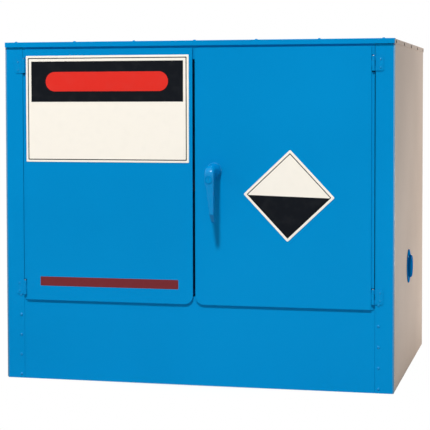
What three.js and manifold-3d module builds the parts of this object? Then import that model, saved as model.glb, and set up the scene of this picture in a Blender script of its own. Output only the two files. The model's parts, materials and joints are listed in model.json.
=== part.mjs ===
// Double-skinned sheet-steel cabinet for dangerous goods, two doors over a spill sump.
// Millimetres. +X is to the right of someone facing the doors, +Y runs to the back, +Z is up.
// The origin is on the floor, under the middle of the carcass.
import * as THREE from 'three';
import { mergeVertices } from 'three/addons/utils/BufferGeometryUtils.js';
import Module from 'manifold-3d';

const wasm = await Module();
wasm.setup();

// Overall sizes, and the sheet and clearances used all over the cabinet.
const carcassWidth = 926;
const carcassDepth = 706;
const carcassHeight = 805;
const sheet = 1.2;
const airSpace = 40;
const slack = 0.3;
const runningFit = 0.1;
const half = carcassWidth / 2;
const frontY = -carcassDepth / 2;
const backY = carcassDepth / 2;

// Front frame.
const stileWidth = 42;
const stileFlange = 20;
const openingBottom = 208;
const stopSetback = 32;
const stopWidth = 18;
const lipHeight = 12;
const lipProud = 4;
const lipOverhang = 1.4;
const topReturn = 22;
const joggleWidth = 17;
const joggleSlack = 0.3;
const sillLip = 18;

// Outer skin.
const rearFlange = 22;
const topFlange = 20;
const lidLip = 11;
const lidSlotLength = 20;
const lidSlotMargin = 1.6;
const lidSlotShares = [0.046, 0.291, 0.529, 0.756, 0.972];
const baseFlange = 20;

// Inner skin, sump and the bearers under the sump.
const linerFlange = 15.8;
const linerRearFlange = 21.8;
const ceilingFlange = 16;
const bearerTop = 44;
const bearerFoot = 16;
const bearerEndGap = 24;
const bearerShares = [0.24, 0.76];

// Shelf, its slotted strips and its clips.
const shelfRise = 267;
const shelfEdge = 25;
const shelfSideGap = 12.6;
const shelfFront = 62;
const shelfRearGap = 23.6;
const shelfHem = 12;
const shelfSlotLength = 62;
const shelfSlotWidth = 9;
const shelfSlotColumns = 7;
const shelfSlotRows = 5;
const shelfSlotMargin = 70;
const stripWidth = 24;
const stripDepth = 10;
const stripSheet = 1.5;
const stripSillGap = 16;
const stripCeilingGap = 19.4;
const stripFrontMiddle = 130;
const stripRearGap = 98.6;
const stripSlotHeight = 12;
const stripSlotWidth = 10;
const stripSlotPitch = 50;
const stripSlotInset = 10;
const clipSheet = 2;
const clipWidth = 20;
const clipLedge = 14;
const clipDrop = 20;
const clipTongueHeight = 8;
const clipTongueWidth = 9;
const clipTongueReach = 4;

// Vents: one low in the right wall, one high in the left wall.
const ventSetback = 332;
const lowVentRise = 47;
const highVentDrop = 61.4;
const ventFlangeRadius = 41.5;
const ventFlange = 2;
const ventBore = 24.5;
const ventPipe = 1.5;
const ventHoleSlack = 0.5;
const ventCapRadius = 27.5;
const ventCap = 7;
const ventCapBevel = 2.2;
const ventPlug = 9;
const ventPlugWall = 2;
const ventGripWidth = 9;
const ventGripDepth = 2.6;
const ventGripLength = 40;
const collarRadius = 36;
const collarDepth = 5;
const collarLip = 1.2;
const screenHole = 2.6;
const screenPitch = 8.4;
const screenRings = 2;

// Doors. Each is an outer pan that laps over header and sill, with an inner pan behind it.
const doorProud = 5;
const doorBack = 30;
const doorSideGap = 8.4;
const doorSideLip = 7;
const doorEndLip = 5.4;
const lipEndGap = 2;
const meetingGap = 6;
const doorSillLap = 17.5;
const doorLipGap = 5;
const doorCorner = 20;
const panSetoff = 0.6;
const innerPanMargin = 2.5;
const innerMeetingSetback = 3;

// Hinges.
const hingeLength = 34;
const hingeLeaf = 1.6;
const hingeAxisOut = 4.2;
const barrelRadius = 3.5;
const pinRadius = 1.5;
const pinHeadRadius = 2.6;
const pinHead = 1.2;
const hingePlateReach = 22.8;
const hingeTabLength = 18;
const hingeTabDepth = 22;
const knuckleLength = 12;
const knuckleGap = 0.2;
const hingeNotch = 2.4;
const leafCorner = 2.5;
const topHingeInset = 9.9;
const bottomHingeInset = 9.5;

// Latch, handle and lock in the right door.
const handleX = 48.5;
const handleRise = 313.5;
const roseRadius = 18.5;
const rose = 3;
const roseBevel = 1;
const spindleSize = 8;
const spindleDepth = 15;
const spindleHole = 6.5;
const neckRadius = 12.4;
const neckWaist = 11.4;
const neckReach = 46;
const leverFront = 60;
const leverRise = 15;
const leverLength = 135;
const leverHalfWidth = 11.8;
// The lever from the side, from its top down the front and back up: shares of leverFront and leverLength.
const leverSideShares = [
  [0.5, 1], [0.7, 0.985], [0.85, 0.945], [0.95, 0.885], [0.99, 0.835], [1, 0.79], [1, 0.175], [0.975, 0.15],
  [0.72, 0.015], [0.66, 0], [0.61, 0.02], [0.66, 0.08], [0.75, 0.16], [0.79, 0.25], [0.8, 0.42], [0.79, 0.6],
  [0.76, 0.71], [0.69, 0.79], [0.58, 0.82], [0.46, 0.83], [0.4, 0.88], [0.4, 0.97],
];
// The lever from the front, clockwise from its top: shares of leverHalfWidth and leverLength.
const leverFrontShares = [
  [0.1, 1], [0.55, 0.985], [0.82, 0.95], [0.92, 0.9], [0.93, 0.85], [0.93, 0.06], [0.88, 0.015], [0.75, 0],
  [0.3, 0], [0.16, 0.02], [0.1, 0.06], [0.04, 0.18], [-0.14, 0.31], [-0.42, 0.46], [-0.6, 0.6], [-0.84, 0.67],
  [-0.98, 0.73], [-1, 0.81], [-0.94, 0.87], [-0.72, 0.93], [-0.5, 0.975], [-0.25, 0.995],
];
const lockOffset = 0.7;
const lockDrop = 19;
const lockRadius = 7.4;
const lockDepth = 12;
const lockProud = 0.5;
const keyWidth = 1.4;
const keyLength = 8;
const keyDepth = 4;
const camRadius = 27;
const camPlate = 3;
const camFront = 8;
const camPinRest = 9;
const camPinRadius = 2.5;
const camSlotSlack = 0.3;
const boltThrow = 12;
const rodWidth = 16;
const rodPlate = 3;
const rodFront = 11.6;
const rodTipGap = 1.6;
const rodInnerEnd = 3;
const rodSlotSlack = 0.6;
const keeperSlack = 1;
const guidePlate = 2;
const guideWidth = 28;
const guideFront = 8.6;
const guideFoot = 16;
const guideFromEnd = 60;
const flushBoltLength = 71;
const flushGuideFromEnd = 26;
const knobStem = 3;
const knobRadius = 7;
const knobHead = 4;
const knobGap = 2;
const knobFromTip = 60;

// How finely round work is cut.
const roundSteps = 32;
const smallSteps = 24;
const holeSteps = 8;
const spiralSteps = 12;
const cornerSteps = 5;

const paint = (color, roughness, metalness) =>
  new THREE.MeshStandardMaterial({ color, roughness, metalness });
const bluePaint = paint(0x0888c6, 0.38, 0);
const stonePaint = paint(0xb7a99d, 0.45, 0);
const zincPlate = paint(0xa9adb0, 0.35, 0.9);
const steelPin = paint(0x8d9094, 0.3, 1);

// ---- shapes
const unitX = new THREE.Vector3(1, 0, 0);
const unitY = new THREE.Vector3(0, 1, 0);
const unitZ = new THREE.Vector3(0, 0, 1);

const toSolid = (geometry) => {
  geometry.deleteAttribute('normal');
  geometry.deleteAttribute('uv');
  const welded = mergeVertices(geometry);
  return new wasm.Manifold(new wasm.Mesh({
    numProp: 3,
    vertProperties: new Float32Array(welded.attributes.position.array),
    triVerts: new Uint32Array(welded.index.array),
  }));
};

const toGeometry = (solid, mirrored) => {
  const data = solid.getMesh();
  const points = new Float32Array(data.vertProperties);
  const faces = new Uint32Array(data.triVerts);
  if (mirrored) {
    for (let i = 0; i < points.length; i += 3) {
      points[i] = -points[i];
    }
    for (let i = 0; i < faces.length; i += 3) {
      [faces[i + 1], faces[i + 2]] = [faces[i + 2], faces[i + 1]];
    }
  }
  const geometry = new THREE.BufferGeometry();
  geometry.setAttribute('position', new THREE.BufferAttribute(points, 3));
  geometry.setIndex(new THREE.BufferAttribute(faces, 1));
  geometry.computeVertexNormals();
  return geometry;
};

// An outline pushed along an axis. Its pairs are [y, z] along x, [x, z] along y and [x, y] along z.
const prism = (axis, outline, from, to) => {
  const pairs = outline.map(([a, b]) => (axis === 'y' ? new THREE.Vector2(b, a) : new THREE.Vector2(a, b)));
  const geometry = new THREE.ExtrudeGeometry(new THREE.Shape(pairs), { depth: to - from, bevelEnabled: false });
  const basis = new THREE.Matrix4();
  if (axis === 'x') {
    basis.makeBasis(unitY, unitZ, unitX).setPosition(from, 0, 0);
  } else if (axis === 'y') {
    basis.makeBasis(unitZ, unitX, unitY).setPosition(0, from, 0);
  } else {
    basis.setPosition(0, 0, from);
  }
  return toSolid(geometry.applyMatrix4(basis));
};

const block = ([x0, x1], [y0, y1], [z0, z1]) => {
  const geometry = new THREE.BoxGeometry(x1 - x0, y1 - y0, z1 - z0);
  return toSolid(geometry.translate((x0 + x1) / 2, (y0 + y1) / 2, (z0 + z1) / 2));
};

// A turned profile of [radius, distance along the axis] pairs.
const turned = (axis, [a, b], profile, steps) => {
  const geometry = new THREE.LatheGeometry(profile.map(([r, h]) => new THREE.Vector2(r, h)), steps);
  const basis = new THREE.Matrix4();
  if (axis === 'x') {
    basis.makeBasis(unitY, unitX, unitZ.clone().negate()).setPosition(0, a, b);
  } else if (axis === 'y') {
    basis.setPosition(a, 0, b);
  } else {
    basis.makeBasis(unitX, unitZ, unitY.clone().negate()).setPosition(a, b, 0);
  }
  return toSolid(geometry.applyMatrix4(basis));
};

const rod = (axis, middle, radius, from, to, steps) =>
  turned(axis, middle, [[0, from], [radius, from], [radius, to], [0, to]], steps);

const arc = ([a, b], radius, start, end, steps) => {
  const points = [];
  for (let i = 0; i <= steps; i += 1) {
    const angle = start + (end - start) * (i / steps);
    points.push([a + radius * Math.cos(angle), b + radius * Math.sin(angle)]);
  }
  return points;
};

const rectangle = ([a0, a1], [b0, b1]) => [[a0, b0], [a1, b0], [a1, b1], [a0, b1]];

// A sheet bent along a path, its thickness on the right of the way the path runs.
const bent = (path, thickness) => {
  const sides = path.slice(1).map(([a, b], i) => {
    const run = Math.hypot(a - path[i][0], b - path[i][1]);
    return [(b - path[i][1]) / run, -(a - path[i][0]) / run];
  });
  const inner = path.map(([a, b], i) => {
    const before = sides[Math.max(i - 1, 0)];
    const after = sides[Math.min(i, sides.length - 1)];
    const sum = [before[0] + after[0], before[1] + after[1]];
    const reach = (2 * thickness) / (sum[0] ** 2 + sum[1] ** 2);
    return [a + sum[0] * reach, b + sum[1] * reach];
  });
  return [...path, ...inner.reverse()];
};

// An open-topped tray: a box with a smaller one taken out of it.
const tray = (outer, cavity) => block(...outer).subtract(block(...cavity));

const cabinet = new THREE.Group();
cabinet.name = 'dangerous_goods_cabinet';
const addPiece = (name, solid, material, mirrored = false) => {
  const mesh = new THREE.Mesh(toGeometry(solid, mirrored), material);
  mesh.name = name;
  cabinet.add(mesh);
};

// Levels and planes that several pieces share.
const sheetTop = carcassHeight - sheet;
const skinTop = sheetTop - sheet;
const skinInside = half - sheet;
const linerOut = skinInside - airSpace;
const linerIn = linerOut - sheet;
const ceilingTop = skinTop - airSpace;
const openingTop = ceilingTop - sheet;
const sumpBottom = sheet + airSpace;
const sumpTop = openingBottom - sheet;
const stileInner = half - stileWidth;
const frameInner = stileInner - slack;
const stopFront = frontY + stopSetback;
const stopBack = stopFront + sheet;
const lipBottom = carcassHeight - lipHeight;
const stileTop = lipBottom - slack;
const skinBack = backY - sheet;
const linerBack = skinBack - airSpace - sheet;
const linerRear = linerBack - sheet;
const sillBack = frontY + airSpace + 2 * sheet;
const rodY = frontY + rodFront + rodPlate / 2;
const doorEdge = stileInner - doorSideGap;
const doorBottom = openingBottom - doorSillLap;
const doorTop = lipBottom - doorLipGap;
const panFront = frontY - doorProud;
const panBack = frontY + doorBack;
const innerPanBottom = openingBottom + innerPanMargin;
const innerPanTop = openingTop - innerPanMargin;
const meetingEdge = meetingGap / 2;
const ventY = frontY + ventSetback;
const lowVentHeight = openingBottom + lowVentRise;
const highVentHeight = openingTop - highVentDrop;
const shelfTop = openingBottom + shelfRise;
const handleZ = doorBottom + handleRise;

// A slot that a latch rod or a flush bolt passes through, in a sheet at height z.
const rodSlot = (gap, z) => block(
  [handleX - rodWidth / 2 - gap, handleX + rodWidth / 2 + gap],
  [rodY - rodPlate / 2 - gap, rodY + rodPlate / 2 + gap],
  [z - 2 * sheet, z + 2 * sheet],
);
const bothSlots = (gap, z) => rodSlot(gap, z).add(toSolid(toGeometry(rodSlot(gap, z), true)));

// ---- outer skin
// A row of slots runs along each top edge, through the side panel and the lip of the lid over it.
const lidSlots = lidSlotShares.map((share) => {
  const y = frontY + share * carcassDepth;
  const span = [sheetTop - lidLip + lidSlotMargin, sheetTop - sheet - lidSlotMargin];
  return block([-half - 2 * sheet, half + 2 * sheet], [y - lidSlotLength / 2, y + lidSlotLength / 2], span);
});
const sidePanel = (ventHeight) => {
  const upright = bent([[half - rearFlange, skinBack], [half, skinBack], [half, frontY]], sheet);
  const topFold = bent([[half - topFlange, skinTop], [half, skinTop], [half, skinTop - topFlange]], sheet);
  const ventHole = ventBore + ventPipe + ventHoleSlack;
  return prism('z', upright, 0, skinTop)
    .add(prism('y', topFold, frontY + topReturn, skinBack))
    .subtract(lidSlots.reduce((all, slot) => all.add(slot)))
    .subtract(rod('x', [ventY, ventHeight], ventHole, skinInside - sheet, half + sheet, roundSteps));
};
addPiece('side_panel_right', sidePanel(lowVentHeight), stonePaint);
addPiece('side_panel_left', sidePanel(highVentHeight), stonePaint, true);
addPiece('back_panel', block([-half, half], [skinBack, backY], [0, skinTop]), stonePaint);

// The lid's lips lap over the sides and the back.
const lidSkin = block(
  [-half - sheet, half + sheet],
  [frontY + sheet, backY + sheet],
  [sheetTop - lidLip, sheetTop],
).subtract(block([-half, half], [frontY, backY], [0, skinTop]));
addPiece('lid', lidSlots.reduce((lid, slot) => lid.subtract(slot), lidSkin), stonePaint);

const baseFront = frontY + stileFlange + slack;
const tongue = stileInner - 2 * sheet - slack;
const baseShell = block([-skinInside, skinInside], [baseFront, skinBack - sheet], [0, baseFlange])
  .add(block([-tongue, tongue], [frontY + sheet, skinBack - sheet], [0, baseFlange]));
const baseCavity = block(
  [-skinInside + sheet, skinInside - sheet],
  [baseFront + sheet, skinBack - 2 * sheet],
  [sheet, 2 * baseFlange],
).add(block([-tongue, tongue], [frontY + 2 * sheet, backY / 2], [sheet, 2 * baseFlange]));
addPiece('base_panel', baseShell.subtract(baseCavity), stonePaint);

// ---- front frame
const stile = () => {
  const face = [[skinInside, frontY + stileFlange], [skinInside, frontY], [stileInner, frontY]];
  const stop = [[stileInner, stopFront], [stileInner - stopWidth, stopFront]];
  return prism('z', bent(face, sheet), 0, stileTop)
    .add(prism('z', bent([...face, ...stop], sheet), openingBottom, openingTop));
};
addPiece('stile_right', stile(), bluePaint);
addPiece('stile_left', stile(), bluePaint, true);

const lipPath = [
  [frontY, lipBottom],
  [frontY - lipProud, lipBottom],
  [frontY - lipProud, carcassHeight],
  [frontY + topReturn, carcassHeight],
];
const headerPath = [[stopBack, openingTop], [frontY, openingTop], [frontY, lipBottom + sheet]];
addPiece('header_rail', prism('x', bent(lipPath, sheet), -half - lipOverhang, half + lipOverhang)
  .add(prism('x', bent(headerPath, sheet), -frameInner, frameInner))
  .subtract(bothSlots(keeperSlack, openingTop)), bluePaint);

const lowerPath = [
  [frontY, 0],
  [frontY, openingBottom],
  [sillBack, openingBottom],
  [sillBack, openingBottom - sillLip],
];
const joggle = (from, to) => block([from, to], [frontY + sheet, frontY + 2 * sheet], [0, sumpTop - sheet]);
addPiece('lower_front_panel', prism('x', bent(lowerPath, sheet), -frameInner, frameInner)
  .add(joggle(frameInner - sheet, stileInner + joggleWidth))
  .add(joggle(-stileInner - joggleWidth, sheet - frameInner))
  .subtract(bothSlots(keeperSlack, sumpTop)), bluePaint);

// ---- inner skin
const sideLiner = (ventHeight) => {
  const path = [
    [linerOut - linerRearFlange, linerBack],
    [linerOut, linerBack],
    [linerOut, stopBack],
    [linerOut - linerFlange, stopBack],
  ];
  const ventHole = ventBore + ventPipe + ventHoleSlack;
  return prism('z', bent(path, sheet), sumpBottom, ceilingTop)
    .subtract(block([0, half], [frontY, sillBack + slack], [0, openingBottom]))
    .subtract(rod('x', [ventY, ventHeight], ventHole, linerIn - sheet, linerOut + sheet, roundSteps));
};
addPiece('liner_right', sideLiner(lowVentHeight), bluePaint);
addPiece('liner_left', sideLiner(highVentHeight), bluePaint, true);
addPiece('liner_back', block([-linerOut, linerOut], [linerBack, linerBack + sheet], [sumpBottom, ceilingTop]),
  bluePaint);

const ceilingPath = [
  [-linerIn, ceilingTop - ceilingFlange],
  [-linerIn, ceilingTop],
  [linerIn, ceilingTop],
  [linerIn, ceilingTop - ceilingFlange],
];
const ceilingFront = linerOut - linerFlange - slack;
addPiece('liner_ceiling', prism('y', bent(ceilingPath, sheet), stopBack + sheet, linerRear)
  .add(block([-ceilingFront, ceilingFront], [stopBack, stopBack + 2 * sheet], [openingTop, ceilingTop]))
  .add(block([-ceilingFront, ceilingFront], [stopBack, stopBack + sheet],
    [openingTop - stopWidth, ceilingTop])), bluePaint);

addPiece('sump_tray', tray(
  [[-linerIn, linerIn], [sillBack, linerRear], [sumpBottom, sumpTop]],
  [[-linerIn + sheet, linerIn - sheet], [sillBack + sheet, linerRear - sheet], [sumpBottom + sheet, openingBottom]],
), bluePaint);

const bearerHalf = bearerTop / 2;
const bearerLevel = sumpBottom - runningFit;
bearerShares.forEach((share, i) => {
  const y = frontY + share * carcassDepth;
  const path = [
    [y - bearerHalf - bearerFoot, 2 * sheet],
    [y - bearerHalf, 2 * sheet],
    [y - bearerHalf, bearerLevel],
    [y + bearerHalf, bearerLevel],
    [y + bearerHalf, 2 * sheet],
    [y + bearerHalf + bearerFoot, 2 * sheet],
  ];
  const name = ['sump_bearer_front', 'sump_bearer_rear'][i];
  addPiece(name, prism('x', bent(path, sheet), -half + bearerEndGap, half - bearerEndGap), stonePaint);
});

// ---- shelf
const shelfHalf = linerIn - shelfSideGap;
const shelfBottom = shelfTop - shelfEdge;
const shelfY = [frontY + shelfFront, linerBack - shelfRearGap];
let shelf = tray(
  [[-shelfHalf, shelfHalf], shelfY, [shelfBottom, shelfTop]],
  [[-shelfHalf + sheet, shelfHalf - sheet], [shelfY[0] + sheet, shelfY[1] - sheet], [0, shelfTop - sheet]],
);
const hemX = [-shelfHalf + sheet / 2, shelfHalf - sheet / 2];
shelf = shelf
  .add(block(hemX, [shelfY[0], shelfY[0] + shelfHem], [shelfBottom, shelfBottom + sheet]))
  .add(block(hemX, [shelfY[1] - shelfHem, shelfY[1]], [shelfBottom, shelfBottom + sheet]));
const columnPitch = (2 * shelfHalf - 2 * shelfSlotMargin) / (shelfSlotColumns - 1);
const rowPitch = (shelfY[1] - shelfY[0] - 2 * shelfSlotMargin) / (shelfSlotRows - 1);
for (let column = 0; column < shelfSlotColumns; column += 1) {
  for (let row = 0; row < shelfSlotRows; row += 1) {
    const x = -shelfHalf + shelfSlotMargin + column * columnPitch;
    const y = shelfY[0] + shelfSlotMargin + row * rowPitch;
    shelf = shelf.subtract(block(
      [x - shelfSlotLength / 2, x + shelfSlotLength / 2],
      [y - shelfSlotWidth / 2, y + shelfSlotWidth / 2],
      [shelfTop - 2 * sheet, shelfTop + sheet],
    ));
  }
}
addPiece('shelf', shelf, zincPlate);

const stripFace = linerIn - stripDepth;
const stripBottom = openingBottom + stripSillGap;
const stripTop = openingTop - stripCeilingGap;
const shelfStrip = (middle) => {
  const edges = [middle - stripWidth / 2, middle + stripWidth / 2];
  const path = [[linerIn, edges[0]], [stripFace, edges[0]], [stripFace, edges[1]], [linerIn, edges[1]]];
  let strip = prism('z', bent(path, stripSheet), stripBottom, stripTop);
  for (let z = stripBottom + stripSlotInset; z + stripSlotHeight < stripTop; z += stripSlotPitch) {
    strip = strip.subtract(block(
      [stripFace - stripSheet, stripFace + 2 * stripSheet],
      [middle - stripSlotWidth / 2, middle + stripSlotWidth / 2],
      [z - stripSlotHeight / 2, z + stripSlotHeight / 2],
    ));
  }
  return strip;
};
const shelfClip = (middle) => {
  const path = [[stripFace - clipLedge, shelfBottom], [stripFace, shelfBottom], [stripFace, shelfBottom - clipDrop]];
  const tongueZ = [shelfBottom - clipDrop, shelfBottom - clipDrop + clipTongueHeight];
  return prism('y', bent(path, clipSheet), middle - clipWidth / 2, middle + clipWidth / 2).add(block(
    [stripFace - clipSheet / 2, stripFace + clipTongueReach],
    [middle - clipTongueWidth / 2, middle + clipTongueWidth / 2],
    tongueZ,
  ));
};
[['front', frontY + stripFrontMiddle], ['rear', linerBack - stripRearGap]].forEach(([place, middle]) => {
  addPiece(`shelf_strip_right_${place}`, shelfStrip(middle), zincPlate);
  addPiece(`shelf_strip_left_${place}`, shelfStrip(middle), zincPlate, true);
  addPiece(`shelf_clip_right_${place}`, shelfClip(middle), zincPlate);
  addPiece(`shelf_clip_left_${place}`, shelfClip(middle), zincPlate, true);
});

// ---- vents
const ventFace = half + ventFlange;
const ventDuct = (z) => turned('x', [ventY, z], [
  [ventBore, linerIn],
  [ventBore + ventPipe, linerIn],
  [ventBore + ventPipe, half],
  [ventFlangeRadius, half],
  [ventFlangeRadius, ventFace],
  [ventBore, ventFace],
  [ventBore, linerIn],
], roundSteps);
const ventPlugRadius = ventBore - slack;
const ventCapSolid = (z) => turned('x', [ventY, z], [
  [0, ventFace],
  [ventPlugRadius - ventPlugWall, ventFace],
  [ventPlugRadius - ventPlugWall, ventFace - ventPlug],
  [ventPlugRadius, ventFace - ventPlug],
  [ventPlugRadius, ventFace],
  [ventCapRadius, ventFace],
  [ventCapRadius, ventFace + ventCap - ventCapBevel],
  [ventCapRadius - ventCapBevel, ventFace + ventCap],
  [0, ventFace + ventCap],
], roundSteps).subtract(block(
  [ventFace + ventCap - ventGripDepth, half + carcassWidth],
  [ventY - ventGripWidth / 2, ventY + ventGripWidth / 2],
  [z - ventGripLength / 2, z + ventGripLength / 2],
));
const ventScreen = (z) => {
  const face = linerIn - collarDepth;
  let screen = turned('x', [ventY, z], [
    [0, face],
    [ventBore + ventPipe, face],
    [ventBore + ventPipe, linerIn - collarLip],
    [collarRadius, linerIn - collarLip],
    [collarRadius, linerIn],
    [ventBore, linerIn],
    [ventBore, face + sheet],
    [0, face + sheet],
  ], roundSteps);
  for (let ring = 0; ring <= screenRings; ring += 1) {
    const count = Math.max(1, 6 * ring);
    for (let i = 0; i < count; i += 1) {
      const angle = (2 * Math.PI * i) / count;
      const middle = [ventY + ring * screenPitch * Math.cos(angle), z + ring * screenPitch * Math.sin(angle)];
      screen = screen.subtract(rod('x', middle, screenHole, face - sheet, face + 2 * sheet, holeSteps));
    }
  }
  return screen;
};
addPiece('vent_duct_low', ventDuct(lowVentHeight), bluePaint);
addPiece('vent_cap_low', ventCapSolid(lowVentHeight), bluePaint);
addPiece('vent_screen_low', ventScreen(lowVentHeight), zincPlate);
addPiece('vent_duct_high', ventDuct(highVentHeight), bluePaint, true);
addPiece('vent_cap_high', ventCapSolid(highVentHeight), bluePaint, true);
addPiece('vent_screen_high', ventScreen(highVentHeight), zincPlate, true);

// ---- hinges
const hingeX = doorEdge + hingeAxisOut;
const hingeY = frontY - hingeAxisOut;
const pinHole = pinRadius + runningFit;
const knuckleHalf = knuckleLength / 2;
const hingeHalf = hingeLength / 2;
const barrel = (from, to) => rod('z', [hingeX, hingeY], barrelRadius, from, to, smallSteps);
const pinBore = (z) => rod('z', [hingeX, hingeY], pinHole, z - hingeLength, z + hingeLength, smallSteps);
const leafOutline = ([a0, a1], [b0, b1]) => [
  [a0, b0],
  [a1 - leafCorner, b0],
  [a1, b0 + leafCorner],
  [a1, b1 - leafCorner],
  [a1 - leafCorner, b1],
  [a0, b1],
];
const frameLeaf = (z) => {
  const plate = leafOutline([hingeX, hingeX + hingePlateReach], [z - hingeHalf, z + hingeHalf]);
  const reach = knuckleHalf + knuckleGap;
  return prism('y', plate, frontY - hingeLeaf, frontY)
    .subtract(block([hingeX - doorProud, hingeX + hingeAxisOut], [hingeY, frontY + sheet], [z - reach, z + reach]))
    .add(barrel(z - hingeHalf, z - reach))
    .add(barrel(z + reach, z + hingeHalf))
    .subtract(pinBore(z));
};
const doorLeaf = (z) => {
  const neck = rectangle([hingeY, frontY], [z - knuckleHalf, z + knuckleHalf]);
  const tab = leafOutline([frontY, frontY + hingeTabDepth], [z - hingeTabLength / 2, z + hingeTabLength / 2]);
  return prism('x', neck, doorEdge, doorEdge + hingeLeaf)
    .add(prism('x', tab, doorEdge, doorEdge + hingeLeaf))
    .add(barrel(z - knuckleHalf, z + knuckleHalf))
    .subtract(pinBore(z));
};
const hingePin = (z) => turned('z', [hingeX, hingeY], [
  [0, z - hingeHalf],
  [pinRadius, z - hingeHalf],
  [pinRadius, z + hingeHalf],
  [pinHeadRadius, z + hingeHalf],
  [pinHeadRadius, z + hingeHalf + pinHead],
  [0, z + hingeHalf + pinHead],
], smallSteps);
const hingeLevels = { top: innerPanTop - topHingeInset, bottom: innerPanBottom + bottomHingeInset };
Object.entries(hingeLevels).forEach(([place, z]) => {
  [['right', false], ['left', true]].forEach(([side, mirrored]) => {
    addPiece(`hinge_frame_leaf_${side}_${place}`, frameLeaf(z), bluePaint, mirrored);
    addPiece(`hinge_door_leaf_${side}_${place}`, doorLeaf(z), bluePaint, mirrored);
    addPiece(`hinge_pin_${side}_${place}`, hingePin(z), steelPin, mirrored);
  });
});

// ---- doors
const doorOutline = (inset) => [
  [doorEdge - inset, doorBottom + inset],
  [doorEdge - inset, doorTop - inset],
  [meetingEdge + inset, doorTop - inset],
  ...arc([meetingEdge + doorCorner, doorBottom + doorCorner], doorCorner - inset, Math.PI, 1.5 * Math.PI, cornerSteps),
];
const rimBack = frontY - panSetoff;
// A narrow lip on the hinge side closes most of the gap to the stile. It is notched round each hinge, and
// narrower above and below the opening, where it swings past the faces of the header and the lower panel.
const sideLip = () => {
  const lipTo = (width, span) => block([doorEdge - sheet, doorEdge + width], [rimBack - sheet, rimBack], span);
  const lip = lipTo(doorSideLip, [openingBottom + lipEndGap, openingTop - lipEndGap])
    .add(lipTo(doorEndLip, [doorBottom, doorTop]));
  const notchReach = hingeHalf + hingeNotch;
  return Object.values(hingeLevels).reduce((rest, z) => rest.subtract(
    block([doorEdge, doorEdge + 2 * doorSideLip], [panFront, frontY], [z - notchReach, z + notchReach]),
  ), lip);
};
const outerPan = () => prism('y', doorOutline(0), panFront, rimBack)
  .subtract(prism('y', doorOutline(sheet), panFront + sheet, frontY))
  .add(block([doorEdge - sheet, doorEdge], [panFront, panBack - sheet], [innerPanBottom, innerPanTop]))
  .add(sideLip());
const innerPan = () => {
  const meetingWall = meetingEdge + innerMeetingSetback;
  return block([meetingWall, doorEdge - sheet], [rimBack - sheet, panBack], [innerPanBottom, innerPanTop])
    .add(prism('y', doorOutline(sheet), rimBack - sheet, rimBack))
    .subtract(block([meetingWall + sheet, doorEdge - sheet], [panFront, panBack - sheet],
      [innerPanBottom + sheet, innerPanTop - sheet]))
    .add(block([doorEdge - 2 * sheet, doorEdge], [panBack - sheet, panBack], [innerPanBottom, innerPanTop]))
    .subtract(rodSlot(rodSlotSlack, innerPanTop))
    .subtract(rodSlot(rodSlotSlack, innerPanBottom));
};
const spindleBore = rod('y', [handleX, handleZ], spindleHole, panFront - rose - sheet, rimBack, roundSteps);
const knobTopZ = openingTop - rodTipGap - knobFromTip;
const knobBottomZ = openingBottom + rodTipGap + knobFromTip;
const knobWay = (from, to) => block(
  [handleX - knobStem - rodSlotSlack, handleX + knobStem + rodSlotSlack],
  [panBack - 2 * sheet, panBack + sheet],
  [from - knobStem - rodSlotSlack, to + knobStem + rodSlotSlack],
);
addPiece('door_outer_pan_right', outerPan().subtract(spindleBore), bluePaint);
addPiece('door_outer_pan_left', outerPan(), bluePaint, true);
addPiece('door_inner_pan_right', innerPan(), bluePaint);
addPiece('door_inner_pan_left', innerPan()
  .subtract(knobWay(knobTopZ, knobTopZ + boltThrow))
  .subtract(knobWay(knobBottomZ - boltThrow, knobBottomZ)), bluePaint, true);

// ---- handle and lock
const roseFace = panFront - rose;
addPiece('handle_rose', turned('y', [handleX, handleZ], [
  [spindleHole, roseFace],
  [roseRadius - roseBevel, roseFace],
  [roseRadius, roseFace + roseBevel],
  [roseRadius, panFront],
  [spindleHole, panFront],
  [spindleHole, roseFace],
], roundSteps), bluePaint);

const neckFoot = roseFace - slack;
const leverBottom = handleZ + leverRise - leverLength;
const lockX = handleX - lockOffset;
const lockZ = handleZ - lockDrop;
const neckEnd = frontY - neckReach;
const socket = spindleSize / 2 + slack / 2;
const leverSide = leverSideShares.map(([reach, height]) =>
  [frontY - reach * leverFront, leverBottom + height * leverLength]);
const leverOutline = leverFrontShares.map(([across, height]) =>
  [handleX + across * leverHalfWidth, leverBottom + height * leverLength]);
const leverX = [handleX - 2 * leverHalfWidth, handleX + 2 * leverHalfWidth];
const handle = prism('x', leverSide, ...leverX)
  .intersect(prism('y', leverOutline, frontY - 2 * leverFront, frontY))
  .add(turned('y', [handleX, handleZ], [
    [0, neckEnd],
    [neckRadius, neckEnd],
    [neckWaist, (neckEnd + neckFoot) / 2],
    [neckRadius, neckFoot],
    [0, neckFoot],
  ], roundSteps))
  .subtract(block([handleX - socket, handleX + socket], [neckFoot - spindleDepth - slack, neckFoot + sheet],
    [handleZ - socket, handleZ + socket]))
  .subtract(rod('y', [lockX, lockZ], lockRadius + runningFit, frontY - 2 * leverFront,
    frontY - leverFront + lockDepth + slack, roundSteps));
addPiece('lever_handle', handle, bluePaint);

const lockFace = frontY - leverFront - lockProud;
addPiece('lock_barrel', rod('y', [lockX, lockZ], lockRadius, lockFace, frontY - leverFront + lockDepth, roundSteps)
  .subtract(block([lockX - keyWidth / 2, lockX + keyWidth / 2], [lockFace - sheet, lockFace + keyDepth],
    [lockZ - keyLength / 2, lockZ + keyLength / 2])), bluePaint);

const camBack = frontY + camFront + camPlate;
addPiece('handle_spindle', block(
  [handleX - spindleSize / 2, handleX + spindleSize / 2],
  [neckFoot - spindleDepth, camBack + slack],
  [handleZ - spindleSize / 2, handleZ + spindleSize / 2],
), zincPlate);

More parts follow.
